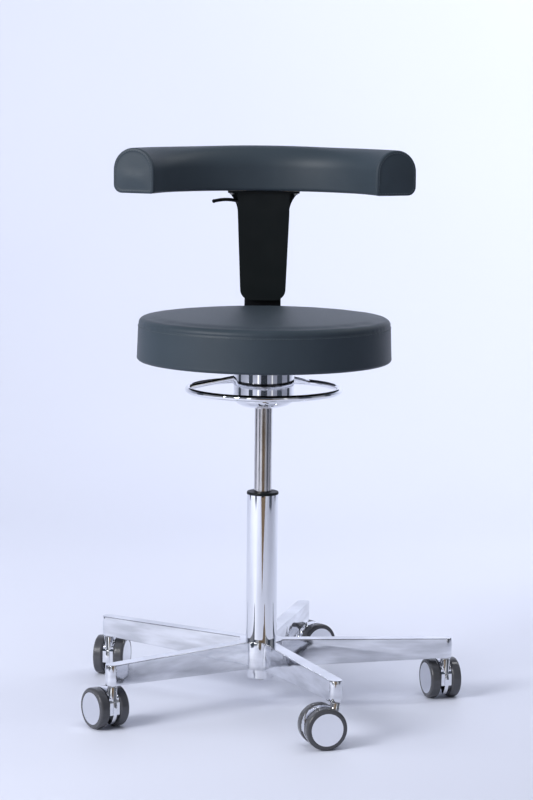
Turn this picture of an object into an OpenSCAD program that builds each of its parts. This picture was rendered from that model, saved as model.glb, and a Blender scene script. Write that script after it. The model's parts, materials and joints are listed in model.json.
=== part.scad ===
// Dentist stool: round padded seat on a gas lift, curved back support, ring release, five twin-wheel casters.
// Millimetres, +Z up, front is -Y. The origin is on the column axis, at the floor.

/* [Base] */
// Radius from the column axis to an arm's tip
base_r = 312; // [280:1:340]
// Width of an arm
arm_w = 21; // [18:0.5:26]
// Height of the arms' flat top above the floor
arm_top_z = 103.5; // [100:0.5:112]
// Height of an arm's underside at its tip
arm_tip_z = 70.5; // [69.5:0.5:76]
// Height of the hub's underside
hub_bottom_z = 58; // [54:0.5:62]
// Radius of the hub
hub_r = 35; // [32:0.5:42]
// Turn of the base about the column
base_turn = 3.2; // [0:0.1:72]

/* [Casters] */
// Radius of the circle that the caster stems stand on
stem_circle_r = 301.5; // [270:0.5:328]
// Wheel radius
wheel_r = 32.5; // [31.5:0.1:32.6]
// Width of one wheel
wheel_w = 16.5; // [12:0.5:20]
// Distance from the stem axis to the wheel axle
trail = 20; // [16:0.5:24]
// Direction that each caster trails in
caster_dirs = [106.4, 31, 77, 124.6, 195.9]; // [0:0.1:360]

/* [Column] */
// Radius of the outer tube
tube_r = 25; // [24:0.5:27]
// Height of the outer tube's top
tube_top_z = 341; // [320:1:350]
// Radius of the gas cylinder
cylinder_r = 14; // [13:0.5:16]

/* [Release ring] */
// Radius of the ring's centre line
ring_r = 121.5; // [110:0.5:140]
// Diameter of the ring's rod
ring_rod_d = 10; // [8:0.5:12]
// Height of the ring
ring_z = 511; // [508:0.5:514]
// Direction midway between the ring's two spokes
spokes_dir = 112; // [100:1:120]
// Angle from that direction to each spoke
spoke_half_angle = 61; // [55:1:70]

/* [Housing] */
// Radius of the chromed housing
housing_r = 48.6; // [46:0.2:52]
// Height of the housing's lowest point
housing_bottom_z = 480; // [476:1:486]

/* [Seat] */
// Radius of the seat cushion
seat_r = 204; // [190:1:215]
// Height of the seat's underside
seat_bottom_z = 558; // [556:1:562]
// Height of the seat's top
seat_top_z = 627; // [610:1:640]

/* [Back support] */
// Radius of the back support's centre line about the column
back_r = 234; // [228:1:245]
// Angle from the middle of the back support to each end
back_half_angle = 66; // [50:1:75]
// Depth of the back support, front to back
back_depth = 72; // [64:1:80]
// Height of the back support's underside
back_bottom_z = 817; // [810:1:830]
// Height of the back support's top
back_top_z = 891; // [880:1:905]

/* [Bracket] */
// Width of the bracket at the top
bracket_w = 86; // [80:1:92]
// Width of the bracket near its lower end
bracket_low_w = 76; // [72:1:80]
// Height of the bracket's lower end
bracket_bottom_z = 634; // [632:1:640]
// Width of the flat steel bar that the bracket slides on
bar_w = 61; // [50:1:62]

/* [Hidden] */
$fn = 96;

// colours
aluminium = [0.80, 0.81, 0.83];
chrome = [0.86, 0.87, 0.90];
steel = [0.62, 0.62, 0.64];
black = [0.12, 0.13, 0.15];
slate = [0.25, 0.29, 0.33];
tyre_grey = [0.28, 0.28, 0.30];
wood = [0.72, 0.58, 0.40];

// fits
running = 0.05;

// base
arm_wall = 4.2;
arm_skin = 5.5;
tip_block = 27;
pocket_start = 44;
pocket_end = base_r - tip_block - 3;
hub_bore_r = 24;

// caster stems and forks
stem_r = 5.5;
journal_r = 5;
flange_r = 7;
flange_h = 1.6;
stem_top_z = 96;
journal_bottom_z = 42;
barrel_r = 8;
barrel_top_z = arm_tip_z - 2.4;
barrel_bottom_z = 38;
block_half_w = 8.8;
block_bottom_z = 24.5;
block_top_z = 44;
hood_r = 32;
hood_t = 2.6;
web_half_t = 3;
axle_r = 3;
wheel_gap = 9.3;
cap_r = 25.2;
cap_t = 2.2;
tread_round = 4;
wheel_bore_depth = wheel_w - 4;

// column
tube_wall = 2.5;
tube_end_r = 21.5;
tube_end_z = 40;
tube_floor_t = 6;
bush_len = 130;
bush_flange_r = 25.6;
bush_flange_h = 4.5;
key_w = 3;
key_h = 2;
rod_r = 5;
rod_top_z = 330;
rod_bottom_z = 35;
piston_r = 12.2;
piston_h = 12;
cylinder_wall = 1.5;
cylinder_bottom_z = 202;
cylinder_top_z = 527;
taper_start_z = 490;
taper_top_r = 13;
bearing_r = 18;
bearing_h = 8;
rod_collar_z = tube_end_z + tube_floor_t + bearing_h + 0.2;
rod_collar_h = 3;
buffer_top_z = 71.5;

// mechanism under the seat
plate_t = 5;
plate_top_z = seat_bottom_z;
plate_bottom_z = plate_top_z - plate_t;
hub_top_z = 526;
taper_hub_r = 21;
housing_t = 2;
bowl_h = 17;
pivot_reach = 30;
pivot_z = 535;
pivot_r = 3;
pivot_half_len = 26;
yoke_half_w = 11;
yoke_z = 532.9;
yoke_t = 8.4;
yoke_eye_r = 6;
button_r = 3.5;
button_top_z = 532.3;
button_bottom_z = 510;
spoke_r = 4;
spoke_inner_r = 9;
spoke_inner_z = 537.1;
spoke_slot_w = 13;
spoke_slot_low_z = 520;
spoke_slot_top_z = 541;

// seat
board_t = 12;
board_r = 186;
seat_round_top = 9;
seat_round_bottom = 5;
bolt_r = 4;
bolt_head_r = 6.5;
bolt_head_h = 4;
seat_bolt_x = 60;
seat_bolt_y = 60;

// steel bar that carries the back support
bar_t = 8;
bar_front_y = 227.6;
bar_rear_y = bar_front_y + bar_t;
bar_top_z = 800;
bar_inner_y = 56;
bar_z = plate_bottom_z - bar_t;
bar_bend_r = 14;
bar_bolts_y = [70, 92];

// bracket
bracket_front_y = 212;
bracket_split_y = 236;
bracket_rear_y = 258;
bracket_wall = 2.5;
bracket_shoulder_z = 777;
bracket_corner_r = 18;
flange_plate_t = 4;
flange_plate_w = 120;
flange_plate_front_y = 211;
flange_plate_bottom_z = back_bottom_z - flange_plate_t;
wing_front_y = 240;
wing_rear_y = 255;
wing_reach = flange_plate_w / 2 - bracket_w / 2 - 1;
wing_drop = flange_plate_bottom_z - bracket_shoulder_z;
wing_arc_r = (wing_reach * wing_reach + wing_drop * wing_drop) / (2 * wing_reach);
guide_z = [652, 728];
guide_h = 16;
guide_half_w = 35;
screw_x = 53;
screw_ys = [221, 234];
screw_head_r = 4;
screw_head_h = 2.6;
screw_r = 2.5;

// clamp lever in the bracket
lever_pivot = [-35.6, 780];
lever_y = 232;
lever_pin_r = 2;
lever_eye_r = 4.4;
lever_eye_w = 7;
lever_link_w = 4;
lever_slot_z = 778;
lever_slot_h = 26;
lever_arc_centre = [-62, 722];
lever_arc_r = 79;
lever_rod_r = 2.9;
lever_tip_r = 3.3;
lever_start_angle = 72;
lever_sweep = 33.5;
shoe_x = -30.8;
shoe_w = 3;
shoe_z = 742;
shoe_h = 16;
shoe_arm_t = 3;

// back support
back_outer_corner_r = 14;
back_inner_corner_r = 5;
back_crown_r = back_depth / 2;
back_board_w = 42;
back_board_t = 12;
back_board_half_angle = 60;

// ---------- helpers ----------

module at_polar(angle, r) {
    rotate([0, 0, angle]) translate([r, 0, 0]) children();
}

module ring_tube(outer, inner, z0, z1) {
    translate([0, 0, z0]) difference() {
        cylinder(r = outer, h = z1 - z0);
        translate([0, 0, -1]) cylinder(r = inner, h = z1 - z0 + 2);
    }
}

module rounded_rect(w, d, r) {
    square([w - 2 * r, d], center = true);
    square([w, d - 2 * r], center = true);
    for (sx = [-1, 1]) for (sy = [-1, 1]) {
        translate([sx * (w / 2 - r), sy * (d / 2 - r)]) circle(r = r);
    }
}

// cylinder along Y, centred
module y_cylinder(r, len) {
    rotate([90, 0, 0]) cylinder(r = r, h = len, center = true);
}

function arm_angle(i) = base_turn + 72 * i;

// ---------- base and column ----------

module star_plan() {
    circle(r = hub_r);
    for (i = [0:4]) rotate([0, 0, arm_angle(i)]) {
        translate([0, -arm_w / 2]) square([base_r - arm_w / 2, arm_w]);
        translate([base_r - arm_w / 2, 0]) circle(d = arm_w);
    }
}

// space under an arm, from its rising underside down: x along the arm, y up
module under_arm() {
    rotate([90, 0, 0]) linear_extrude(height = 2 * arm_w, center = true) polygon([
        [hub_r + 2, hub_bottom_z - 2],
        [hub_r + 2, hub_bottom_z + 1],
        [base_r - tip_block, arm_tip_z],
        [base_r + 2, arm_tip_z],
        [base_r + 2, hub_bottom_z - 2]
    ]);
}

// hollow on the arm's underside, between two walls
module arm_pocket() {
    translate([pocket_start, -arm_w / 2 + arm_wall, 0])
        cube([pocket_end - pocket_start, arm_w - 2 * arm_wall, arm_top_z - arm_skin]);
}

module base_star() {
    color(aluminium) difference() {
        translate([0, 0, hub_bottom_z]) linear_extrude(height = arm_top_z - hub_bottom_z) star_plan();
        translate([0, 0, hub_bottom_z - 1]) cylinder(r = hub_bore_r, h = arm_top_z - hub_bottom_z + 2);
        for (i = [0:4]) {
            rotate([0, 0, arm_angle(i)]) under_arm();
            rotate([0, 0, arm_angle(i)]) arm_pocket();
            at_polar(arm_angle(i), stem_circle_r) cylinder(r = stem_r, h = stem_top_z);
        }
    }
}

module column_tube() {
    color(chrome) difference() {
        union() {
            translate([0, 0, arm_top_z]) cylinder(r = tube_r, h = tube_top_z - arm_top_z);
            translate([0, 0, tube_end_z + 11]) cylinder(r = hub_bore_r, h = arm_top_z - tube_end_z - 11);
            translate([0, 0, tube_end_z]) cylinder(r1 = tube_end_r - 1, r2 = tube_end_r, h = 1);
            translate([0, 0, tube_end_z + 1]) cylinder(r = tube_end_r, h = 10);
        }
        translate([0, 0, arm_top_z - 4]) cylinder(r = tube_r - tube_wall, h = tube_top_z);
        translate([0, 0, tube_end_z + tube_floor_t]) cylinder(r = tube_end_r - tube_wall, h = tube_top_z);
        cylinder(r = rod_r + running, h = tube_top_z);
        translate([-key_w / 2, -tube_r - 1, tube_top_z - key_h]) cube([key_w, 5, key_h + 1]);
    }
}

module guide_bush() {
    color(black) difference() {
        union() {
            translate([0, 0, tube_top_z - bush_len]) cylinder(r = tube_r - tube_wall, h = bush_len);
            translate([0, 0, tube_top_z]) cylinder(r = bush_flange_r, h = bush_flange_h - 1);
            translate([0, 0, tube_top_z + bush_flange_h - 1])
                cylinder(r1 = bush_flange_r, r2 = bush_flange_r - 1, h = 1);
            translate([-key_w / 2, -tube_r + 0.2, tube_top_z - key_h]) cube([key_w, 5, key_h + 1]);
        }
        translate([0, 0, tube_top_z - bush_len - 1]) cylinder(r = cylinder_r + running, h = bush_len + 20);
    }
}

// two races and the ring of balls between them
module thrust_bearing() {
    race_h = 2;
    ball_r = 2;
    z0 = tube_end_z + tube_floor_t;
    color(steel) {
        ring_tube(bearing_r, rod_r + 1, z0, z0 + race_h);
        ring_tube(bearing_r, rod_r + 1, z0 + race_h + 2 * ball_r, z0 + 2 * race_h + 2 * ball_r);
        for (i = [0:11]) at_polar(30 * i, 12)
            translate([0, 0, z0 + race_h + ball_r]) sphere(r = ball_r, $fn = 32);
    }
}

module caster_stems() {
    color(steel) for (i = [0:4]) at_polar(arm_angle(i), stem_circle_r) {
        translate([0, 0, arm_tip_z]) cylinder(r = stem_r, h = stem_top_z - arm_tip_z - 0.5);
        translate([0, 0, arm_tip_z - flange_h]) cylinder(r = flange_r, h = flange_h);
        translate([0, 0, journal_bottom_z]) cylinder(r = journal_r, h = arm_tip_z - flange_h - journal_bottom_z);
    }
}

// ---------- rod, fixed in height, turning with the seat ----------

module piston_rod() {
    color(steel) {
        translate([0, 0, rod_bottom_z]) cylinder(r = rod_r, h = rod_top_z - rod_bottom_z);
        translate([0, 0, rod_top_z - piston_h]) cylinder(r = piston_r, h = piston_h);
        translate([0, 0, rod_collar_z]) cylinder(r = 9, h = rod_collar_h);
    }
}

module rod_clip() {
    color(steel) ring_tube(9, rod_r, tube_end_z - 2.4, tube_end_z - 0.4);
}

module buffer() {
    color(black) ring_tube(9.5, rod_r, rod_collar_z + rod_collar_h, buffer_top_z);
}

// ---------- mechanism and seat ----------

module gas_cylinder() {
    color(steel) difference() {
        union() {
            translate([0, 0, cylinder_bottom_z]) cylinder(r = cylinder_r, h = taper_start_z - cylinder_bottom_z);
            translate([0, 0, taper_start_z])
                cylinder(r1 = cylinder_r, r2 = taper_top_r, h = cylinder_top_z - taper_start_z);
        }
        translate([0, 0, cylinder_bottom_z + 10])
            cylinder(r = cylinder_r - cylinder_wall, h = button_bottom_z - 12 - cylinder_bottom_z);
        translate([0, 0, cylinder_bottom_z - 1]) cylinder(r = rod_r + running, h = 20);
        translate([0, 0, button_bottom_z - 4]) cylinder(r = button_r + running, h = 30);
    }
}

module valve_button() {
    color(steel) translate([0, 0, button_bottom_z])
        cylinder(r = button_r, h = button_top_z - button_bottom_z);
}

// socket that the cylinder's taper sits in, hung from the plate by two side walls
module taper_hub() {
    wall_t = 5;
    wall_y = 16;
    color(black) difference() {
        union() {
            translate([0, 0, taper_start_z + 2]) cylinder(r = taper_hub_r, h = hub_top_z - taper_start_z - 2);
            rotate([0, 0, spokes_dir]) for (side = [-1, 1]) {
                translate([-10, side * wall_y - wall_t / 2, taper_start_z + 6])
                    cube([48, wall_t, plate_bottom_z - taper_start_z - 6]);
            }
        }
        translate([0, 0, taper_start_z])
            cylinder(r1 = cylinder_r, r2 = taper_top_r, h = cylinder_top_z - taper_start_z);
        translate([0, 0, taper_start_z - 20]) cylinder(r = cylinder_r, h = 20);
        rotate([0, 0, spokes_dir]) {
            translate([pivot_reach, 0, pivot_z]) y_cylinder(pivot_r, 80);
            // windows that the ring's spokes pass through
            translate([0, -30, hub_top_z - 2]) cube([19, 60, 18]);
        }
    }
}

module pivot_pin() {
    color(steel) rotate([0, 0, spokes_dir]) translate([pivot_reach, 0, pivot_z])
        y_cylinder(pivot_r, 2 * pivot_half_len - 10);
}

// a cylinder with a flattened bowl for a bottom, open at the top, slotted for the two spokes
module housing_cup() {
    bowl_scale = bowl_h / housing_r;
    inner_r = housing_r - housing_t;
    rim_z = housing_bottom_z + bowl_h;
    steps = 14;
    function bowl(r, h, z) = [for (i = [0:steps]) [r * sin(90 * i / steps), z - h * cos(90 * i / steps)]];
    color(chrome) difference() {
        rotate_extrude() polygon(concat(
            bowl(housing_r, bowl_h, rim_z),
            [[housing_r, plate_bottom_z], [inner_r, plate_bottom_z], [inner_r, rim_z]],
            [for (i = [1:steps])
                [inner_r * cos(90 * i / steps), rim_z - (bowl_h - housing_t) * sin(90 * i / steps)]]
        ));
        translate([0, 0, housing_bottom_z - 5]) cylinder(r = cylinder_r + 0.3, h = 40);
        for (side = [-1, 1]) rotate([0, 0, spokes_dir + side * spoke_half_angle])
            translate([housing_r - 10, -spoke_slot_w / 2, spoke_slot_low_z])
                cube([20, spoke_slot_w, spoke_slot_top_z - spoke_slot_low_z]);
    }
}

module mechanism_plate() {
    color(black) difference() {
        translate([0, 20, plate_bottom_z]) linear_extrude(height = plate_t) rounded_rect(150, 190, 12);
        for (x = [-seat_bolt_x, seat_bolt_x]) for (y = [-seat_bolt_y, seat_bolt_y])
            translate([x, y, plate_bottom_z - 1]) cylinder(r = bolt_r, h = plate_t + 2);
        for (y = bar_bolts_y) translate([0, y, plate_bottom_z - 1]) cylinder(r = bolt_r, h = plate_t + 2);
    }
}

module seat_board() {
    color(wood) difference() {
        translate([0, 0, seat_bottom_z]) cylinder(r = board_r, h = board_t);
        for (x = [-seat_bolt_x, seat_bolt_x]) for (y = [-seat_bolt_y, seat_bolt_y])
            translate([x, y, seat_bottom_z - 1]) cylinder(r = bolt_r, h = board_t - 1);
        for (y = bar_bolts_y) translate([0, y, seat_bottom_z - 1]) cylinder(r = bolt_r, h = board_t - 1);
    }
}

module seat_cushion() {
    h = seat_top_z - seat_bottom_z;
    color(slate) translate([0, 0, seat_bottom_z]) difference() {
        rotate_extrude($fn = 128) {
            translate([0, seat_round_bottom]) square([seat_r, h - seat_round_bottom - seat_round_top]);
            square([seat_r - seat_round_bottom, seat_round_bottom + 1]);
            translate([0, h - seat_round_top - 1]) square([seat_r - seat_round_top, seat_round_top + 1]);
            translate([seat_r - seat_round_top, h - seat_round_top]) circle(r = seat_round_top);
            translate([seat_r - seat_round_bottom, seat_round_bottom]) circle(r = seat_round_bottom);
        }
        translate([0, 0, -1]) cylinder(r = board_r, h = board_t + 1);
    }
}

module hex_bolt(z_under, len) {
    translate([0, 0, z_under]) cylinder(r = bolt_r, h = len);
    translate([0, 0, z_under - bolt_head_h]) cylinder(r = bolt_head_r, h = bolt_head_h, $fn = 6);
}

// four seat bolts and the two that hold the bar
module mount_bolts() {
    color(steel) {
        for (x = [-seat_bolt_x, seat_bolt_x]) for (y = [-seat_bolt_y, seat_bolt_y])
            translate([x, y, 0]) hex_bolt(plate_bottom_z, plate_t + board_t - 3);
        for (y = bar_bolts_y) translate([0, y, 0]) hex_bolt(bar_z, bar_t + plate_t + board_t - 3);
    }
}

// side outline of the bent bar, x is Y and y is up
module bar_side() {
    translate([bar_inner_y, bar_z]) square([bar_rear_y - bar_bend_r - bar_inner_y, bar_t]);
    translate([bar_front_y, bar_z + bar_bend_r]) square([bar_t, bar_top_z - bar_z - bar_bend_r]);
    intersection() {
        translate([bar_rear_y - bar_bend_r, bar_z + bar_bend_r]) difference() {
            circle(r = bar_bend_r);
            circle(r = bar_bend_r - bar_t);
        }
        translate([bar_rear_y - bar_bend_r, bar_z]) square([bar_bend_r, bar_bend_r]);
    }
}

module back_bar() {
    color(black) difference() {
        rotate([90, 0, 90]) linear_extrude(height = bar_w, center = true) bar_side();
        for (y = bar_bolts_y) translate([0, y, bar_z - 1]) cylinder(r = bolt_r, h = bar_t + 2);
    }
}

// ---------- release ring ----------

module release_ring() {
    color(chrome) translate([0, 0, ring_z]) rotate_extrude($fn = 128)
        translate([ring_r, 0]) circle(d = ring_rod_d, $fn = 48);
}

// two straight rods from the ring up to the yoke
module spoke_rods() {
    run = ring_r - spoke_inner_r;
    rise = spoke_inner_z - ring_z;
    for (side = [-1, 1]) rotate([0, 0, spokes_dir + side * spoke_half_angle])
        translate([ring_r, 0, ring_z]) rotate([0, -atan2(run, rise), 0])
            cylinder(r = spoke_r, h = sqrt(run * run + rise * rise), $fn = 48);
}

module ring_spokes() {
    color(chrome) difference() {
        spoke_rods();
        translate([0, 0, ring_z]) rotate_extrude($fn = 128)
            translate([ring_r, 0]) circle(d = ring_rod_d, $fn = 48);
    }
}

// plate over the valve button, with an eye on the pivot pin
module release_yoke() {
    color(steel) difference() {
        rotate([0, 0, spokes_dir]) difference() {
            union() {
                translate([-8, -yoke_half_w, yoke_z]) cube([pivot_reach + 8, 2 * yoke_half_w, yoke_t]);
                translate([pivot_reach, 0, pivot_z]) y_cylinder(yoke_eye_r, 2 * yoke_half_w);
            }
            translate([pivot_reach, 0, pivot_z]) y_cylinder(pivot_r + running, 40);
        }
        spoke_rods();
    }
}

// ---------- back support ----------

// front outline of the bracket, inset from the outer wall
module bracket_outline(inset, top_z) {
    half_top = bracket_w / 2 - inset;
    half_low = bracket_low_w / 2 - inset;
    r = bracket_corner_r - inset;
    low_z = bracket_bottom_z + inset;
    polygon([
        [-half_top, top_z],
        [-half_top, bracket_shoulder_z],
        [-half_low, low_z + r],
        [-half_low + r, low_z],
        [half_low - r, low_z],
        [half_low, low_z + r],
        [half_top, bracket_shoulder_z],
        [half_top, top_z]
    ]);
    for (side = [-1, 1]) translate([side * (half_low - r), low_z + r]) circle(r = r);
}

// extrudes a front outline between two Y positions
module along_y(y0, y1) {
    translate([0, y1, 0]) rotate([90, 0, 0]) linear_extrude(height = y1 - y0) children();
}

module bar_slot() {
    translate([-bar_w / 2 - 0.4, bar_front_y - 0.4, 500]) cube([bar_w + 0.8, bar_t + 0.8, 200]);
}

module front_cover() {
    color(black) difference() {
        along_y(bracket_front_y, bracket_split_y) bracket_outline(0, flange_plate_bottom_z);
        along_y(bracket_front_y + bracket_wall, bracket_split_y + 1)
            bracket_outline(bracket_wall, flange_plate_bottom_z + 1);
        bar_slot();
        // slot that the lever comes out through
        translate([-bracket_w, lever_y - lever_eye_r, lever_slot_z]) cube([bracket_w / 2 + 8, 20, lever_slot_h]);
    }
}

// concave web between the bracket's side and the flange plate
module wing(side) {
    along_y(wing_front_y, wing_rear_y) difference() {
        translate([side * (bracket_w / 2 + wing_reach / 2), bracket_shoulder_z + wing_drop / 2])
            square([wing_reach, wing_drop], center = true);
        translate([side * (bracket_w / 2 + wing_arc_r), bracket_shoulder_z]) circle(r = wing_arc_r);
    }
}

module rear_cover() {
    color(black) difference() {
        union() {
            difference() {
                along_y(bracket_split_y, bracket_rear_y) bracket_outline(0, flange_plate_bottom_z);
                along_y(bracket_split_y - 1, bracket_rear_y - bracket_wall)
                    bracket_outline(bracket_wall, flange_plate_bottom_z + 1);
            }
            for (side = [-1, 1]) wing(side);
            translate([0, (flange_plate_front_y + bracket_rear_y) / 2, flange_plate_bottom_z])
                linear_extrude(height = flange_plate_t)
                    rounded_rect(flange_plate_w, bracket_rear_y - flange_plate_front_y, 5);
        }
        for (x = [-screw_x, screw_x]) for (y = screw_ys)
            translate([x, y, flange_plate_bottom_z - 1]) cylinder(r = screw_r, h = flange_plate_t + 2, $fn = 32);
    }
}

// two plastic blocks fixed in the bracket that slide on the bar
module slide_guide() {
    gap = 0.2;
    color(steel) for (z = guide_z) difference() {
        translate([-guide_half_w, bracket_front_y + bracket_wall, z])
            cube([2 * guide_half_w, bracket_rear_y - bracket_front_y - 2 * bracket_wall, guide_h]);
        translate([-bar_w / 2 - gap, bar_front_y - gap, z - 1])
            cube([bar_w + 2 * gap, bar_t + 2 * gap, guide_h + 2]);
        // room for the clamp shoe's arm
        translate([-guide_half_w - 1, lever_y - 6, z - 1])
            cube([guide_half_w - bar_w / 2 + 1, 12, guide_h + 2]);
    }
}

module lever_pin() {
    y0 = bracket_front_y + bracket_wall;
    y1 = bracket_rear_y - bracket_wall;
    color(steel) translate([lever_pivot[0], (y0 + y1) / 2, lever_pivot[1]]) y_cylinder(lever_pin_r, y1 - y0);
}

// point on the centre line of the lever's curved rod
function lever_point(angle) = [
    lever_arc_centre[0] + lever_arc_r * cos(angle),
    lever_y,
    lever_arc_centre[1] + lever_arc_r * sin(angle)
];

// curved rod that a finger lifts, with an upright link down to its eye on the pin
module height_lever() {
    inner_end = lever_point(lever_start_angle);
    tip = lever_point(lever_start_angle + lever_sweep);
    color(black) difference() {
        union() {
            translate([lever_arc_centre[0], lever_y, lever_arc_centre[1]]) rotate([90, 0, 0])
                rotate([0, 0, lever_start_angle]) rotate_extrude(angle = lever_sweep)
                    translate([lever_arc_r, 0]) circle(r = lever_rod_r, $fn = 40);
            for (end = [inner_end, tip]) translate(end) sphere(r = lever_tip_r, $fn = 40);
            translate([inner_end[0] - lever_link_w / 2, lever_y - lever_link_w / 2, lever_pivot[1]])
                cube([lever_link_w, lever_link_w, inner_end[2] - lever_pivot[1]]);
            translate([lever_pivot[0], lever_y, lever_pivot[1]]) y_cylinder(lever_eye_r, lever_eye_w);
        }
        translate([lever_pivot[0], lever_y, lever_pivot[1]]) y_cylinder(lever_pin_r + running, 20);
    }
}

// brake shoe beside the bar's edge, on a thin arm that ends at the lever's eye
module clamp_shoe() {
    arm_x = lever_pivot[0] + 1;
    arm_start_z = shoe_z + shoe_h / 2 - 1;
    color(steel) difference() {
        union() {
            translate([shoe_x - shoe_w, lever_y - lever_eye_w / 2, shoe_z - shoe_h / 2])
                cube([shoe_w, lever_eye_w, shoe_h]);
            translate([arm_x - shoe_arm_t / 2, lever_y - lever_link_w / 2, arm_start_z])
                cube([shoe_arm_t, lever_link_w, lever_pivot[1] - arm_start_z]);
        }
        translate([lever_pivot[0], lever_y, lever_pivot[1]]) y_cylinder(lever_eye_r, 20);
    }
}

// section of the back support, x outwards from the column: flat base, rounded crown, softer outer corner
module back_section() {
    half = back_depth / 2;
    h = back_top_z - back_bottom_z;
    crown_z = h - back_crown_r;
    ri = back_inner_corner_r;
    ro = back_outer_corner_r;
    translate([0, crown_z]) circle(r = back_crown_r);
    translate([-half, ri]) square([half, crown_z - ri]);
    translate([-half + ri, ri]) circle(r = ri);
    translate([-half + ri, 0]) square([back_depth - ri - ro, crown_z]);
    translate([0, ro]) square([half, crown_z - ro]);
    translate([half - ro, ro]) circle(r = ro);
}

// sweeps a section about the column axis, centred on +Y
module about_column(half_angle, z) {
    translate([0, 0, z]) rotate([0, 0, 90 - half_angle]) rotate_extrude(angle = 2 * half_angle, $fn = 128)
        translate([back_r, 0]) children();
}

module back_board() {
    color(wood) difference() {
        about_column(back_board_half_angle, back_bottom_z)
            translate([-back_board_w / 2, 0]) square([back_board_w, back_board_t]);
        for (x = [-screw_x, screw_x]) for (y = screw_ys)
            translate([x, y, back_bottom_z - 1]) cylinder(r = screw_r, h = back_board_t - 1, $fn = 32);
    }
}

module back_cushion() {
    color(slate) difference() {
        about_column(back_half_angle, back_bottom_z) back_section();
        about_column(back_board_half_angle, back_bottom_z - 1)
            translate([-back_board_w / 2, 0]) square([back_board_w, back_board_t + 1]);
    }
}

module back_screws() {
    color(steel) for (x = [-screw_x, screw_x]) for (y = screw_ys) {
        translate([x, y, flange_plate_bottom_z])
            cylinder(r = screw_r, h = flange_plate_t + back_board_t - 3, $fn = 32);
        translate([x, y, flange_plate_bottom_z - screw_head_h])
            cylinder(r = screw_head_r, h = screw_head_h, $fn = 32);
    }
}

// ---------- casters ----------

// places a caster's children: stem axis at the origin, trailing along +X
module at_caster(i) {
    at_polar(arm_angle(i), stem_circle_r) rotate([0, 0, caster_dirs[i] - arm_angle(i)]) children();
}

// side outline of the curved hood over the wheels, x along the trail and y up
module hood_side() {
    translate([trail, wheel_r]) difference() {
        circle(r = hood_r);
        circle(r = hood_r - hood_t);
        // open below the axle and in front of the stem
        translate([-2 * hood_r, -2 * hood_r]) square([4 * hood_r, 2 * hood_r - 6]);
        translate([-2 * hood_r, -hood_r]) square([2 * hood_r - 26, 2 * hood_r - 14]);
    }
}

module fork_side() {
    polygon([
        [-block_half_w, block_bottom_z],
        [trail - 6, block_bottom_z],
        [trail, block_bottom_z + 2],
        [trail, block_top_z + 4],
        [-block_half_w + 3, block_top_z + 4],
        [-block_half_w, block_top_z]
    ]);
}

module fork() {
    color(chrome) difference() {
        union() {
            translate([0, 0, barrel_bottom_z]) cylinder(r = barrel_r, h = barrel_top_z - barrel_bottom_z);
            rotate([90, 0, 0]) linear_extrude(height = 2 * block_half_w, center = true) {
                fork_side();
                hood_side();
            }
            translate([trail, 0, wheel_r]) y_cylinder(hood_r - 1, 2 * web_half_t);
            translate([trail, 0, wheel_r]) y_cylinder(7, 2 * block_half_w);
        }
        translate([0, 0, journal_bottom_z - 1]) cylinder(r = journal_r + running, h = 60);
        translate([trail, 0, wheel_r]) y_cylinder(axle_r, 40);
        // flat cut that keeps the web off the floor
        translate([trail - 40, -web_half_t - 1, -1]) cube([80, 2 * web_half_t + 2, 9]);
    }
}

module axle() {
    color(steel) translate([trail, 0, wheel_r]) y_cylinder(axle_r, 2 * (wheel_gap + wheel_bore_depth) - 1);
}

// half section of a wheel about its axle: x is the radius, y runs outwards from the inner face
module wheel_section() {
    r = wheel_r - tread_round;
    square([r, wheel_w]);
    translate([0, tread_round]) square([wheel_r, wheel_w - 2 * tread_round]);
    for (y = [tread_round, wheel_w - tread_round]) translate([r, y]) circle(r = tread_round, $fn = 48);
}

module wheel(side) {
    color(tyre_grey) translate([trail, side * wheel_gap, wheel_r]) rotate([-90 * side, 0, 0]) difference() {
        rotate_extrude() wheel_section();
        translate([0, 0, -1]) cylinder(r = axle_r + running, h = wheel_bore_depth + 1);
        translate([0, 0, wheel_w - cap_t]) cylinder(r = cap_r, h = cap_t + 1);
        // recess on the inner face, around the hub
        translate([0, 0, -1]) difference() {
            cylinder(r = wheel_r - 6, h = 7);
            cylinder(r = 9, h = 7);
        }
    }
}

module cap(side) {
    color(chrome) translate([trail, side * wheel_gap, wheel_r]) rotate([-90 * side, 0, 0])
        translate([0, 0, wheel_w - cap_t]) cylinder(r = cap_r, h = cap_t);
}

base_star();
column_tube();
guide_bush();
thrust_bearing();
caster_stems();
piston_rod();
rod_clip();
buffer();
gas_cylinder();
taper_hub();
housing_cup();
mechanism_plate();
pivot_pin();
seat_board();
seat_cushion();
mount_bolts();
back_bar();
release_ring();
ring_spokes();
release_yoke();
valve_button();
front_cover();
rear_cover();
slide_guide();
lever_pin();
back_board();
back_cushion();
back_screws();
height_lever();
clamp_shoe();
for (i = [0:4]) {
    n = str(i + 1);
    at_caster(i) fork();
    at_caster(i) axle();
    at_caster(i) wheel(1);
    at_caster(i) cap(1);
    at_caster(i) wheel(-1);
    at_caster(i) cap(-1);
}
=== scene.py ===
import json
import math

import bpy
import numpy as np
from mathutils import Matrix, Vector
from mathutils.kdtree import KDTree


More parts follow.
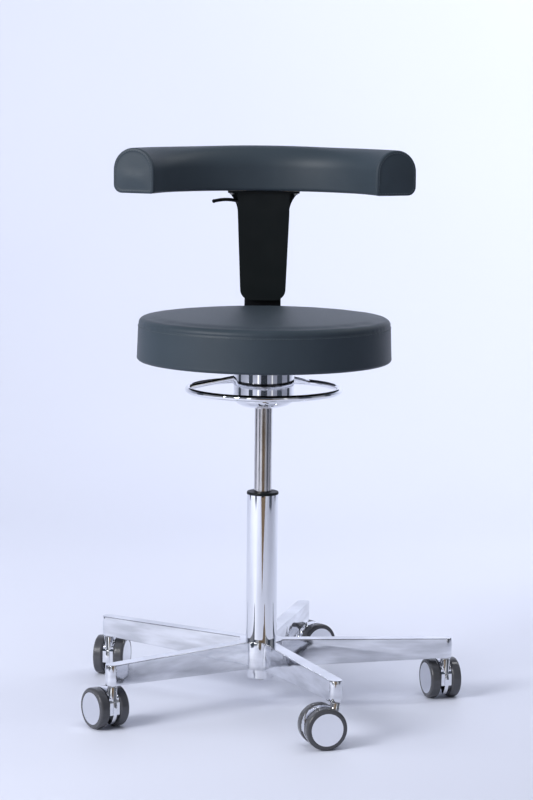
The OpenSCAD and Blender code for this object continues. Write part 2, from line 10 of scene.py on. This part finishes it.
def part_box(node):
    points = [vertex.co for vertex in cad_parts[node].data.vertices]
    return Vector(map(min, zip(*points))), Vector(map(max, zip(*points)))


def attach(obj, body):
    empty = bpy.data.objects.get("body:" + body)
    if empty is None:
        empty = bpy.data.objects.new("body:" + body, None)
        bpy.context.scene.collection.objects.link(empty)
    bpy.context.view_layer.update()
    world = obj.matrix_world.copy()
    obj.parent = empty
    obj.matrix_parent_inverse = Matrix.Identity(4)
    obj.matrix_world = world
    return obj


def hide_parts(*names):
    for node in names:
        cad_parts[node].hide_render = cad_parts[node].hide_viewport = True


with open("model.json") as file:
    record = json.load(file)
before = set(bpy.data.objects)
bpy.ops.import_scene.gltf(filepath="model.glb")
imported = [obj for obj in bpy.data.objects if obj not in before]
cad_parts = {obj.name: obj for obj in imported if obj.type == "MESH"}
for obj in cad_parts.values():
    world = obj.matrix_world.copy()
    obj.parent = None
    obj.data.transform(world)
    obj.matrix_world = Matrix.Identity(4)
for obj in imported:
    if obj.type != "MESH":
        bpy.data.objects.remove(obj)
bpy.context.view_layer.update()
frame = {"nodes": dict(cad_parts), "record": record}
scene = bpy.context.scene
nodes = frame["nodes"]

MM = 0.001
CASTERS = range(1, 6)
SIDES = ("left", "right")


# ---------- materials ----------

def new_material(name, color, metallic=0.0, roughness=0.5, **sockets):
    """A material with its node tree, its Principled shader and object coordinates."""
    mat = bpy.data.materials.new(name)
    mat.use_nodes = True
    tree = mat.node_tree
    shader = tree.nodes["Principled BSDF"]
    shader.inputs["Base Color"].default_value = (*color, 1)
    shader.inputs["Metallic"].default_value = metallic
    shader.inputs["Roughness"].default_value = roughness
    for socket, value in sockets.items():
        shader.inputs[socket.replace("_", " ")].default_value = value
    coords = tree.nodes.new("ShaderNodeTexCoord")
    return mat, tree, shader, coords.outputs["Object"]


def stretched(tree, coords, scale):
    mapping = tree.nodes.new("ShaderNodeMapping")
    mapping.inputs["Scale"].default_value = scale
    tree.links.new(coords, mapping.inputs["Vector"])
    return mapping.outputs["Vector"]


def noise(tree, coords, scale, detail=3.0, roughness=0.5):
    node = tree.nodes.new("ShaderNodeTexNoise")
    node.inputs["Scale"].default_value = scale
    node.inputs["Detail"].default_value = detail
    node.inputs["Roughness"].default_value = roughness
    tree.links.new(coords, node.inputs["Vector"])
    return node.outputs["Fac"]


def cells(tree, coords, scale):
    node = tree.nodes.new("ShaderNodeTexVoronoi")
    node.inputs["Scale"].default_value = scale
    tree.links.new(coords, node.inputs["Vector"])
    return node.outputs["Distance"]


def remap(tree, value, low, high, out_low, out_high):
    node = tree.nodes.new("ShaderNodeMapRange")
    node.inputs["From Min"].default_value = low
    node.inputs["From Max"].default_value = high
    node.inputs["To Min"].default_value = out_low
    node.inputs["To Max"].default_value = out_high
    tree.links.new(value, node.inputs["Value"])
    return node.outputs["Result"]


def two_colors(tree, value, first, second):
    ramp = tree.nodes.new("ShaderNodeValToRGB")
    ramp.color_ramp.elements[0].position = 0.35
    ramp.color_ramp.elements[1].position = 0.65
    ramp.color_ramp.elements[0].color = (*first, 1)
    ramp.color_ramp.elements[1].color = (*second, 1)
    tree.links.new(value, ramp.inputs["Fac"])
    return ramp.outputs["Color"]


def bump(tree, shader, height, strength, distance, below=None):
    """Adds a bump under the shader; below is an earlier bump that it goes on top of."""
    node = tree.nodes.new("ShaderNodeBump")
    node.inputs["Strength"].default_value = strength
    node.inputs["Distance"].default_value = distance
    tree.links.new(height, node.inputs["Height"])
    if below is not None:
        tree.links.new(below.outputs["Normal"], node.inputs["Normal"])
    tree.links.new(node.outputs["Normal"], shader.inputs["Normal"])
    return node


def shade(color, factor):
    return tuple(c * factor for c in color)


def chrome_material(name, color, low, high):
    """Polished plated metal: faint waviness, and a haze of fine wipe marks in its roughness."""
    mat, tree, shader, coords = new_material(name, color, metallic=1.0)
    haze = noise(tree, coords, 55, 4)
    tree.links.new(remap(tree, haze, 0.3, 0.7, low, high), shader.inputs["Roughness"])
    tree.links.new(
        two_colors(tree, noise(tree, coords, 16), shade(color, 0.96), color), shader.inputs["Base Color"])
    bump(tree, shader, noise(tree, coords, 38, 1), 0.25, 0.06 * MM)
    return mat


def cast_aluminium():
    """Hand-polished casting: faint streaks, clouded roughness, low polishing waves and soft edges."""
    bright, dull = (0.84, 0.85, 0.88), (0.60, 0.61, 0.64)
    mat, tree, shader, coords = new_material("polished_aluminium", bright, metallic=1.0)
    cloud = noise(tree, coords, 24, 5, 0.6)
    streaks = noise(tree, stretched(tree, coords, (13, 13, 70)), 1.0, 3)
    tree.links.new(remap(tree, cloud, 0.3, 0.7, 0.03, 0.08), shader.inputs["Roughness"])
    tree.links.new(two_colors(tree, streaks, dull, bright), shader.inputs["Base Color"])
    edges = tree.nodes.new("ShaderNodeBevel")
    edges.samples = 6
    edges.inputs["Radius"].default_value = 2.6 * MM
    waves = bump(tree, shader, noise(tree, coords, 20, 2), 0.5, 0.0012, below=edges)
    scratches = noise(tree, stretched(tree, coords, (60, 60, 900)), 1.5, 2)
    bump(tree, shader, scratches, 0.06, 0.00005, below=waves)
    return mat


def turned_steel(name, color, low, high, axis_scale):
    """Ground or plated steel with fine lines; axis_scale squeezes the noise into lines."""
    mat, tree, shader, coords = new_material(name, color, metallic=1.0)
    lines = noise(tree, stretched(tree, coords, axis_scale), 1.0, 3)
    tree.links.new(remap(tree, lines, 0.3, 0.7, low, high), shader.inputs["Roughness"])
    tree.links.new(
        two_colors(tree, noise(tree, coords, 30), shade(color, 0.88), color), shader.inputs["Base Color"])
    bump(tree, shader, lines, 0.12, 0.00008)
    return mat


def leatherette():
    """Satin artificial leather: pebbled grain, pores between the pebbles and a slow change of tone."""
    color = (0.030, 0.042, 0.054)
    mat, tree, shader, coords = new_material("leatherette", color, Specular_IOR_Level=0.27)
    tone = noise(tree, coords, 7, 3)
    tree.links.new(
        two_colors(tree, tone, shade(color, 0.93), shade(color, 1.06)), shader.inputs["Base Color"])
    grain = cells(tree, coords, 900)
    tree.links.new(remap(tree, grain, 0.1, 0.8, 0.42, 0.52), shader.inputs["Roughness"])
    pebbles = bump(tree, shader, grain, 0.22, 0.00018)
    folds = bump(tree, shader, noise(tree, coords, 210, 4), 0.14, 0.0003, below=pebbles)
    bump(tree, shader, noise(tree, coords, 18, 2), 0.10, 0.0015, below=folds)
    return mat


def thread_material():
    """Sewing thread a little lighter than the cover, with its twist as fine bumps."""
    color = (0.052, 0.066, 0.080)
    mat, tree, shader, coords = new_material("thread", color, roughness=0.55)
    twist = noise(tree, stretched(tree, coords, (2400, 2400, 2400)), 1.0, 2)
    tree.links.new(
        two_colors(tree, twist, shade(color, 0.75), shade(color, 1.15)), shader.inputs["Base Color"])
    bump(tree, shader, twist, 0.4, 0.0001)
    return mat


def grained_plastic(name, color, low, high, grain_scale, depth, specular=0.24):
    """Moulded plastic or powder coat: fine spark-eroded grain and slightly uneven gloss."""
    mat, tree, shader, coords = new_material(name, color, Specular_IOR_Level=specular)
    tree.links.new(remap(tree, noise(tree, coords, 40, 3), 0.3, 0.7, low, high), shader.inputs["Roughness"])
    tree.links.new(
        two_colors(tree, noise(tree, coords, 14), shade(color, 0.88), shade(color, 1.1)),
        shader.inputs["Base Color"])
    bump(tree, shader, noise(tree, coords, grain_scale, 3), 0.25, depth)
    return mat


def plywood():
    """Beech ply: long grain on the faces, with fine dark pores."""
    mat, tree, shader, coords = new_material("plywood", (0.60, 0.45, 0.28))
    grain = noise(tree, stretched(tree, coords, (14, 260, 260)), 1.0, 5, 0.6)
    tree.links.new(
        two_colors(tree, grain, (0.47, 0.32, 0.18), (0.64, 0.49, 0.31)), shader.inputs["Base Color"])
    tree.links.new(remap(tree, grain, 0.3, 0.7, 0.62, 0.50), shader.inputs["Roughness"])
    bump(tree, shader, grain, 0.2, 0.0003)
    return mat


MATERIALS = {
    "polished_aluminium": cast_aluminium(),
    "chrome": chrome_material("chrome", (0.83, 0.84, 0.87), 0.035, 0.075),
    "cylinder_steel": turned_steel("cylinder_steel", (0.58, 0.565, 0.56), 0.13, 0.20, (90, 90, 1500)),
    "plain_steel": turned_steel("plain_steel", (0.60, 0.60, 0.60), 0.25, 0.38, (300, 300, 300)),
    "black_plastic": grained_plastic("black_plastic", (0.0030, 0.0052, 0.0060), 0.42, 0.54, 1500, 0.0001),
    "black_steel": grained_plastic("black_steel", (0.0050, 0.0055, 0.0070), 0.30, 0.42, 900, 0.0001),
    "rubber": grained_plastic("rubber", (0.02, 0.02, 0.02), 0.65, 0.8, 600, 0.0001),
    "leatherette": leatherette(),
    "plywood": plywood(),
    "grey_tyre": grained_plastic("grey_tyre", (0.060, 0.061, 0.068), 0.15, 0.24, 700, 0.00004, 0.5),
}
THREAD = thread_material()


def set_material(obj, material):
    obj.data.materials.clear()
    obj.data.materials.append(material)


def dress_cad_nodes():
    for part in frame["record"]["subparts"]:
        set_material(nodes[part["node"]], MATERIALS[part["material_slot"]])


def round_edges(node, width, segments=3):
    """Softens a CAD node's hard edges, which on the real piece are broken by polishing or moulding.

    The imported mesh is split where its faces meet, so they are joined before they can be bevelled.
    """
    obj = nodes[node]
    weld = obj.modifiers.new("weld", "WELD")
    weld.merge_threshold = 0.005 * MM
    bevel = obj.modifiers.new("bevel", "BEVEL")
    bevel.width = width
    bevel.segments = segments
    bevel.limit_method = "ANGLE"
    bevel.angle_limit = math.radians(40)
    bevel.harden_normals = True
    bevel.use_clamp_overlap = True


# ---------- mesh helpers ----------

def mesh_object(name, vertices, faces, material, smooth=True):
    mesh = bpy.data.meshes.new(name)
    mesh.from_pydata([tuple(v) for v in vertices], [], faces)
    mesh.update()
    mesh.polygons.foreach_set("use_smooth", [smooth] * len(mesh.polygons))
    obj = bpy.data.objects.new(name, mesh)
    scene.collection.objects.link(obj)
    set_material(obj, material)
    return obj


def ring_faces(rings, points):
    """Quads between successive rings of a grid whose rings are closed loops of points."""
    faces = []
    for i in range(rings - 1):
        a, b = i * points, (i + 1) * points
        for j in range(points):
            k = (j + 1) % points
            faces.append((a + j, a + k, b + k, b + j))
    return faces


def read_points(obj):
    co = np.zeros(len(obj.data.vertices) * 3)
    obj.data.vertices.foreach_get("co", co)
    return co.reshape(-1, 3)


def write_points(obj, co):
    obj.data.vertices.foreach_set("co", co.reshape(-1))
    obj.data.update()


def swell(obj, held, pressure, cap, frames=20):
    """Inflates obj with Cloth, except the points in held, and returns how far each point moved."""
    before = read_points(obj)
    group = obj.vertex_groups.new(name="held")
    group.add([int(i) for i in np.nonzero(held)[0]], 1.0, "REPLACE")
    cloth = obj.modifiers.new("cloth", "CLOTH")
    settings = cloth.settings
    settings.quality = 6
    settings.mass = 0.4
    settings.tension_stiffness = 12
    settings.compression_stiffness = 12
    settings.shear_stiffness = 6
    settings.bending_stiffness = 0.6
    settings.use_pressure = True
    settings.uniform_pressure_force = pressure
    settings.vertex_group_mass = "held"
    settings.effector_weights.gravity = 0
    cloth.point_cache.frame_start = 1
    cloth.point_cache.frame_end = frames
    for f in range(1, frames + 1):
        scene.frame_set(f)
    shaped = obj.evaluated_get(bpy.context.evaluated_depsgraph_get())
    after = np.zeros(len(before) * 3)
    shaped.data.vertices.foreach_get("co", after)
    obj.modifiers.remove(cloth)
    scene.frame_set(1)
    move = after.reshape(-1, 3) - before
    length = np.linalg.norm(move, axis=1, keepdims=True)
    return before, move * np.minimum(1.0, cap / np.maximum(length, 1e-9))


def carry(points, before, move, reach=0.010, near=32):
    """Moves each of points as the simulated points around it moved, smoothed over reach metres."""
    tree = KDTree(len(before))
    for i, p in enumerate(before):
        tree.insert(p, i)
    tree.balance()
    out = np.array(points, float)
    for i, p in enumerate(points):
        found = tree.find_n(p, near)
        weight = np.exp(-(np.array([d for _, _, d in found]) / reach) ** 2) + 1e-6
        out[i] += (move[[k for _, k, _ in found]] * weight[:, None]).sum(0) / weight.sum()
    return out


def stitches(name, path, normals, body, length=0.0036, gap=0.0013, radius=0.00042):
    """A row of thread stitches along path, each a short bead that dips into the cover at both ends."""
    path = np.array(path)
    steps = np.linalg.norm(np.diff(path, axis=0), axis=1)
    at = np.concatenate([[0], np.cumsum(steps)])
    count = int(at[-1] / (length + gap))
    vertices, faces = [], []
    sides, along = 6, 5
    for n in range(count):
        start = n * (length + gap)
        base = len(vertices)
        for k in range(along):
            t = k / (along - 1)
            s = start + t * length
            p = np.array([np.interp(s, at, path[:, c]) for c in range(3)])
            q = np.array([np.interp(s + 1e-4, at, path[:, c]) for c in range(3)])
            out = np.array([np.interp(s, at, normals[:, c]) for c in range(3)])
            out /= np.linalg.norm(out)
            forward = (q - p) / max(np.linalg.norm(q - p), 1e-9)
            across = np.cross(out, forward)
            r = radius * (0.35 + 0.65 * math.sin(math.pi * (0.12 + 0.76 * t)))
            lift = radius * (0.9 * math.sin(math.pi * t) - 0.35)
            for j in range(sides):
                a = 2 * math.pi * j / sides
                vertices.append(p + out * (lift + r * math.sin(a)) + across * r * math.cos(a))
        for k in range(along - 1):
            for j in range(sides):
                m = (j + 1) % sides
                faces.append((base + k * sides + j, base + k * sides + m,
                              base + (k + 1) * sides + m, base + (k + 1) * sides + j))
        faces.append(tuple(base + j for j in reversed(range(sides))))
        faces.append(tuple(base + (along - 1) * sides + j for j in range(sides)))
    row = mesh_object(name, vertices, faces, THREAD)
    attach(row, body)
    return row


# ---------- seat cushion ----------

SEAT_LOW, SEAT_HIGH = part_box("seat_cushion")
SEAT_R = (SEAT_HIGH.x - SEAT_LOW.x) / 2
SEAT_SEAM_Z = SEAT_HIGH.z - 11 * MM
SEAT_SPOKES = 288
SEAT_HELD_R = 0.192


def seat_profile(shrink, seam_depth, fine):
    """Half outline of the cushion as (r, z), from the middle of its underside up to the middle of its top."""
    r = SEAT_R - shrink
    low, high = SEAT_LOW.z, SEAT_HIGH.z - shrink * 0.4
    bottom_round, top_round = 5 * MM, 9 * MM
    step = 1.0 * MM if fine else 5 * MM
    points = [(r * t, low) for t in np.linspace(0.02, 1 - bottom_round / r, 30 if fine else 16)]
    for a in np.linspace(-80, 0, 7 if fine else 3):
        a = math.radians(a)
        points.append((r - bottom_round + bottom_round * math.cos(a), low + bottom_round * (1 + math.sin(a))))
    taper = 2.4 * MM
    side = np.arange(low + bottom_round + step, high - top_round, step)
    for z in side:
        t = (z - low) / (high - low)
        dip = seam_depth * math.exp(-((z - SEAT_SEAM_Z) / (1.1 * MM)) ** 2)
        points.append((r - taper * t - dip, z))
    for a in np.linspace(5, 88, 14 if fine else 4):
        a = math.radians(a)
        points.append((r - taper - top_round * (1 - math.cos(a)), high - top_round * (1 - math.sin(a))))
    inner = r - taper - top_round
    for t in np.linspace(0.985, 0.02, 40 if fine else 18):
        crown = 1.5 * MM * (1 - t ** 6)
        points.append((inner * t, high + crown * (1 if fine else 0.3)))
    return points


def lathe(name, profile, count, material):
    """Turns the (r, z) profile about the column axis and closes both ends."""
    vertices = [(r * math.cos(2 * math.pi * j / count), r * math.sin(2 * math.pi * j / count), z)
                for r, z in profile for j in range(count)]
    faces = ring_faces(len(profile), count)
    faces.append(tuple(reversed(range(count))))
    top = (len(profile) - 1) * count
    faces.append(tuple(range(top, top + count)))
    return mesh_object(name, vertices, faces, material)


def seat_cushion():
    """Foam disc in a sewn cover: inflated by simulation, then given the slight puckers at its seam."""
    profile = seat_profile(0.2 * MM, 0.9 * MM, True)
    fine = lathe("seat_cover", profile, SEAT_SPOKES, MATERIALS["leatherette"])
    points = read_points(fine)
    pad = lathe("seat_sim", seat_profile(3.0 * MM, 0.0, False), 160, MATERIALS["leatherette"])
    co = read_points(pad)
    radius = np.hypot(co[:, 0], co[:, 1])
    on_board = (co[:, 2] < SEAT_LOW.z + 1 * MM) & (radius < SEAT_HELD_R)
    at_seam = np.abs(co[:, 2] - SEAT_SEAM_Z) < 2.6 * MM
    before, move = swell(pad, on_board | at_seam, 1.6, 1.6 * MM)
    bpy.data.objects.remove(pad)
    points = carry(points, before, move)
    angle = np.arctan2(points[:, 1], points[:, 0])
    radius = np.hypot(points[:, 0], points[:, 1])
    near_seam = np.exp(-((points[:, 2] - SEAT_SEAM_Z) / (7 * MM)) ** 2) * (radius > SEAT_R - 14 * MM)
    pucker = 0.22 * MM * (np.sin(61 * angle + 1.3) * np.sin(23 * angle) + 0.5 * np.sin(97 * angle))
    scale = 1 + near_seam * pucker / np.maximum(radius, 0.01)
    points[:, 0] *= scale
    points[:, 1] *= scale
    slump = 0.35 * MM * np.sin(2 * angle + 0.6) * (radius / SEAT_R) ** 3 * (points[:, 2] > SEAT_SEAM_Z)
    points[:, 2] += slump
    write_points(fine, points)
    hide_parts("seat_cushion")
    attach(fine, "seat")

    rings = points.reshape(-1, SEAT_SPOKES, 3)
    on_side = np.hypot(rings[:, 0, 0], rings[:, 0, 1]) > SEAT_R - 6 * MM
    off_row = np.abs(rings[:, 0, 2] - (SEAT_SEAM_Z - 3.2 * MM))
    row = rings[int(np.argmin(np.where(on_side, off_row, 1.0)))]
    path = np.vstack([row, row[:1]])
    stitches("seat_stitching", path, path * (1.0, 1.0, 0.0), "seat")


# ---------- back cushion ----------

BACK_LOW, BACK_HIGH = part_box("back_cushion")
BACK_R = 0.234
BACK_HALF = math.radians(66)
BACK_DEPTH = 0.072
BACK_INNER_CORNER = 5 * MM
BACK_OUTER_CORNER = 14 * MM


def back_section(count, inset=0.0):
    """Evenly spaced closed outline, x across and z up: flat base, rounded lower corners, round crown."""
    half = BACK_DEPTH / 2
    height = BACK_HIGH.z - BACK_LOW.z
    crown = height - half
    inner, outer = BACK_INNER_CORNER, BACK_OUTER_CORNER
    dense = []
    for a in np.linspace(0, 180, 91):
        a = math.radians(a)
        dense.append((half * math.cos(a), crown + half * math.sin(a)))
    for a in np.linspace(180, 270, 30):
        a = math.radians(a)
        dense.append((-half + inner + inner * math.cos(a), inner + inner * math.sin(a)))
    for a in np.linspace(270, 360, 30):
        a = math.radians(a)
        dense.append((half - outer + outer * math.cos(a), outer + outer * math.sin(a)))
    dense.append(dense[0])
    dense = np.array(dense)
    at = np.concatenate([[0], np.cumsum(np.linalg.norm(np.diff(dense, axis=0), axis=1))])
    s = np.linspace(0, at[-1], count, endpoint=False)
    outline = np.stack([np.interp(s, at, dense[:, 0]), np.interp(s, at, dense[:, 1])], 1)
    centre = np.array([0.0, height * 0.5])
    direction = outline - centre
    length = np.linalg.norm(direction, axis=1, keepdims=True)
    return centre + direction * (1 - inset / length)


def back_sweep(name, angles, insets, count, cap_rings):
    """Sweeps the section about the column axis, from -X round the back to +X, and closes both ends.

    Angles are measured from +Y, and insets shrink each ring. cap_rings lists (share of the section's
    size, height above the end face) for the rings that fill an end.
    """
    vertices = []
    for angle, inset in zip(angles, insets):
        for x, z in back_section(count, inset):
            r = BACK_R + x
            vertices.append(np.array((r * math.sin(angle), r * math.cos(angle), BACK_LOW.z + z)))
    faces = ring_faces(len(angles), count)
    for end, angle in ((0, angles[0]), (len(angles) - 1, angles[-1])):
        sign = 1 if angle > 0 else -1
        outward = sign * np.array((math.cos(angle), -math.sin(angle), 0.0))
        previous = list(range(end * count, (end + 1) * count))
        edge = np.array([vertices[k] for k in previous])
        centre = edge.mean(0)
        for share, height in cap_rings:
            current = list(range(len(vertices), len(vertices) + count))
            vertices += [centre + (p - centre) * share + outward * height for p in edge]
            for a in range(count):
                b = (a + 1) % count
                quad = (previous[a], previous[b], current[b], current[a])
                faces.append(quad if sign > 0 else quad[::-1])
            previous = current
        faces.append(tuple(previous[::sign]))
    return mesh_object(name, vertices, faces, MATERIALS["leatherette"])


# Distance of each ring from an end and how far it is drawn in, in mm: a soft edge, then the seam.
BACK_END_RINGS = (
    (0.0, 1.6), (0.3, 0.9), (0.9, 0.35), (1.8, 0.1), (2.6, 0.0), (3.2, 0.12), (3.6, 0.4), (4.0, 0.6),
    (4.4, 0.4), (4.9, 0.12), (5.8, 0.02), (8.0, 0.0), (10.5, 0.05),
)
# The end face: a rib where the cover is folded under and stitched, then nearly flat.
BACK_CAP_RINGS = tuple((share, height * MM) for share, height in (
    (0.985, 0.15), (0.96, 0.35), (0.93, 0.42), (0.905, 0.32), (0.885, 0.12), (0.86, 0.08),
    (0.75, 0.3), (0.55, 0.8), (0.35, 1.2), (0.15, 1.4),
))
BACK_STITCH_RING = 2
BACK_FINE, BACK_COARSE = 120, 44


def fine_back():
    ends = [(BACK_HALF - s * MM / BACK_R, inset) for s, inset in BACK_END_RINGS]
    reach = ends[-1][0] - 2.5 * MM / BACK_R
    middle = [(a, 0.0) for a in np.linspace(-reach, reach, 150)]
    rings = [(-a, inset) for a, inset in ends] + middle + list(reversed(ends))
    angles = [a for a, _ in rings]
    insets = [(inset + 0.1) * MM for _, inset in rings]
    return back_sweep("back_cover", angles, insets, BACK_FINE, BACK_CAP_RINGS), len(rings)


def back_cushion():
    """Foam bar in a sewn tube of cover with an end piece on each side, inflated by simulation."""
    cover, ring_count = fine_back()
    points = read_points(cover)
    angles = np.linspace(-BACK_HALF, BACK_HALF, 96)
    coarse_cap = ((0.86, 0.0), (0.72, 0.0), (0.58, 0.0), (0.44, 0.0), (0.30, 0.0), (0.16, 0.0))
    pad = back_sweep("back_sim", angles, np.full(96, 2.2 * MM), BACK_COARSE, coarse_cap)
    co = read_points(pad)
    radius = np.hypot(co[:, 0], co[:, 1])
    on_board = (co[:, 2] < BACK_LOW.z + 4 * MM) & (np.abs(radius - BACK_R) < 27 * MM)
    before, move = swell(pad, on_board, 1.8, 1.6 * MM)
    bpy.data.objects.remove(pad)
    points = carry(points, before, move)
    write_points(cover, points)
    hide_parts("back_cushion")
    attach(cover, "back")

    for index, side in enumerate(SIDES):
        ring = ring_count + index * len(BACK_CAP_RINGS) + BACK_STITCH_RING
        row = points[ring * BACK_FINE:(ring + 1) * BACK_FINE]
        path = np.vstack([row, row[:1]])
        across = np.cross(row[0] - row.mean(0), row[BACK_FINE // 4] - row.mean(0))
        outward = across / np.linalg.norm(across) * (-1 if index == 0 else 1)
        stitches(f"back_stitching_{side}", path, np.tile(outward, (len(path), 1)), "back")


# ---------- stage ----------

def add_camera():
    """At the viewing distance and height that the object was pictured from, with a long lens."""
    place = (-0.0683, -4.170, 1.047)
    turn, tilt, roll = math.radians(-1.0), math.radians(7.56), math.radians(0.63)
    camera = bpy.data.objects.new("camera", bpy.data.cameras.new("camera"))
    camera.data.lens = 118.06
    camera.data.sensor_width = 36
    camera.matrix_world = (
        Matrix.Translation(place)
        @ Matrix.Rotation(turn, 4, "Z")
        @ Matrix.Rotation(math.radians(90) - tilt, 4, "X")
        @ Matrix.Rotation(roll, 4, "Z")
    )
    scene.collection.objects.link(camera)
    scene.camera = camera


def emitter(name, corners, strength, color):
    """A flat glowing sheet that only reflections see."""
    mat = bpy.data.materials.new(name)
    mat.use_nodes = True
    tree = mat.node_tree
    tree.nodes.clear()
    glow = tree.nodes.new("ShaderNodeEmission")
    glow.inputs["Color"].default_value = (*color, 1)
    glow.inputs["Strength"].default_value = strength
    out = tree.nodes.new("ShaderNodeOutputMaterial")
    tree.links.new(glow.outputs["Emission"], out.inputs["Surface"])
    obj = mesh_object(name, corners, [(0, 1, 2, 3)], mat, smooth=False)
    obj.visible_camera = False
    obj.visible_shadow = False
    obj.visible_diffuse = False
    return obj


def upright(x, y, width, low, high):
    """Corners of an upright rectangle at (x, y) that faces the column axis."""
    away = Vector((x, y, 0)).normalized()
    along = Vector((-away.y, away.x, 0)) * width / 2
    centre = Vector((x, y, 0))
    up = Vector((0, 0, 1))
    return [centre - along + up * low, centre + along + up * low,
            centre + along + up * high, centre - along + up * high]


def area_light(name, place, aim, size, power, color=(1, 1, 1)):
    lamp = bpy.data.lights.new(name, "AREA")
    lamp.shape = "RECTANGLE"
    lamp.size, lamp.size_y = size
    lamp.energy = power
    lamp.color = color
    obj = bpy.data.objects.new(name, lamp)
    obj.location = place
    obj.rotation_euler = (Vector(aim) - Vector(place)).to_track_quat("-Z", "Y").to_euler()
    scene.collection.objects.link(obj)
    return obj


def see_through_back(tree, shader):
    """Lets the camera look through the sheet's back; its front, shadows and reflections stay."""
    side = tree.nodes.new("ShaderNodeNewGeometry")
    path = tree.nodes.new("ShaderNodeLightPath")
    both = tree.nodes.new("ShaderNodeMath")
    both.operation = "MULTIPLY"
    tree.links.new(side.outputs["Backfacing"], both.inputs[0])
    tree.links.new(path.outputs["Is Camera Ray"], both.inputs[1])
    clear = tree.nodes.new("ShaderNodeBsdfTransparent")
    mix = tree.nodes.new("ShaderNodeMixShader")
    tree.links.new(both.outputs["Value"], mix.inputs["Fac"])
    tree.links.new(shader.outputs["BSDF"], mix.inputs[1])
    tree.links.new(clear.outputs["BSDF"], mix.inputs[2])
    out = next(node for node in tree.nodes if node.type == "OUTPUT_MATERIAL")
    tree.links.new(mix.outputs["Shader"], out.inputs["Surface"])


FLOOR_FRONT_Y, FLOOR_HALF_WIDTH = -9.0, 9.0
SWEEP_START_Y, SWEEP_R, BACKDROP_TOP = 1.6, 1.6, 7.0


def studio_floor():
    """A pale floor that sweeps up into the backdrop.

    The cameras of the other views can stand behind or below it, so its back is clear to them.
    """
    mat, tree, shader, coords = new_material("floor", (0.61, 0.635, 0.74), roughness=0.55)
    tree.links.new(
        two_colors(tree, noise(tree, coords, 0.8, 2), (0.605, 0.63, 0.735), (0.625, 0.65, 0.755)),
        shader.inputs["Base Color"])
    shader.inputs["Specular IOR Level"].default_value = 0.25
    see_through_back(tree, shader)
    profile = [(FLOOR_FRONT_Y, 0.0), (SWEEP_START_Y, 0.0)]
    for a in range(6, 91, 6):
        a = math.radians(a)
        profile.append((SWEEP_START_Y + SWEEP_R * math.sin(a), SWEEP_R * (1 - math.cos(a))))
    profile.append((SWEEP_START_Y + SWEEP_R, BACKDROP_TOP))
    vertices = [(x, y, z) for y, z in profile for x in (-FLOOR_HALF_WIDTH, FLOOR_HALF_WIDTH)]
    faces = [(2 * i, 2 * i + 1, 2 * i + 3, 2 * i + 2) for i in range(len(profile) - 1)]
    floor = mesh_object("floor", vertices, faces, mat)


def studio_light():
    """Soft light mostly from the left, with dark and bright cards that only reflections see."""
    world = bpy.data.worlds.new("world")
    scene.world = world
    world.use_nodes = True
    world.node_tree.nodes["Background"].inputs["Color"].default_value = (0.86, 0.89, 1.0, 1)
    world.node_tree.nodes["Background"].inputs["Strength"].default_value = 0.30
    cool = (0.97, 0.98, 1.0)
    area_light("key", (-2.9, -2.4, 2.3), (0, 0, 0.5), (1.6, 1.6), 150, cool)
    left = area_light("left", (-3.2, -0.4, 1.3), (0, 0, 0.6), (2.0, 1.8), 40, cool)
    top = area_light("top", (0.2, -0.6, 3.4), (0, 0, 0.3), (2.4, 2.4), 36)
    left.visible_glossy = top.visible_glossy = False
    area_light("backdrop", (1.8, 0.8, 2.6), (1.2, 3.2, 1.6), (2.0, 2.0), 80, (0.96, 0.98, 1.0))
    dark, warm, pale = (0.10, 0.12, 0.16), (0.30, 0.22, 0.15), (0.95, 0.97, 1.0)
    ceiling = [(-2.6, -3.4, 3.0), (2.6, -3.4, 3.0), (2.6, 1.4, 3.0), (-2.6, 1.4, 3.0)]
    emitter("card_ceiling", ceiling, 0.7, dark)
    emitter("card_front", upright(0.0, -3.6, 1.5, 0.0, 2.2), 0.3, dark)
    emitter("card_left", upright(-1.5, -1.2, 0.55, 0.0, 2.2), 0.6, dark)
    emitter("card_right", upright(1.6, -0.9, 0.7, 0.0, 2.2), 0.6, dark)
    emitter("card_edge_left", upright(-1.9, 0.5, 0.5, 0.0, 2.4), 0.5, dark)
    emitter("card_edge_right", upright(1.9, 0.5, 0.5, 0.0, 2.4), 0.5, dark)
    wedge = [(0.02, -0.9, 0.0), (0.06, -0.9, 0.0), (0.56, -0.9, 0.34), (-0.40, -0.9, 0.34)]
    emitter("card_wedge", wedge, 0.7, warm)
    emitter("strip_left", upright(-0.8, -2.0, 0.22, 0.0, 2.4), 1.6, pale)
    emitter("strip_right", upright(1.0, -1.7, 0.16, 0.0, 2.4), 1.0, pale)


def main():
    dress_cad_nodes()
    round_edges("base_star", 0.8 * MM)
    for node in ("front_cover", "rear_cover"):
        round_edges(node, 0.9 * MM)
    for node in ("back_bar", "guide_bush"):
        round_edges(node, 0.5 * MM, 2)
    for i in CASTERS:
        round_edges(f"fork_{i}", 0.6 * MM, 2)
        for side in SIDES:
            round_edges(f"cap_{i}_{side}", 0.5 * MM, 2)
    seat_cushion()
    back_cushion()
    studio_floor()
    studio_light()
    add_camera()
    scene.view_settings.view_transform = "Standard"


main()
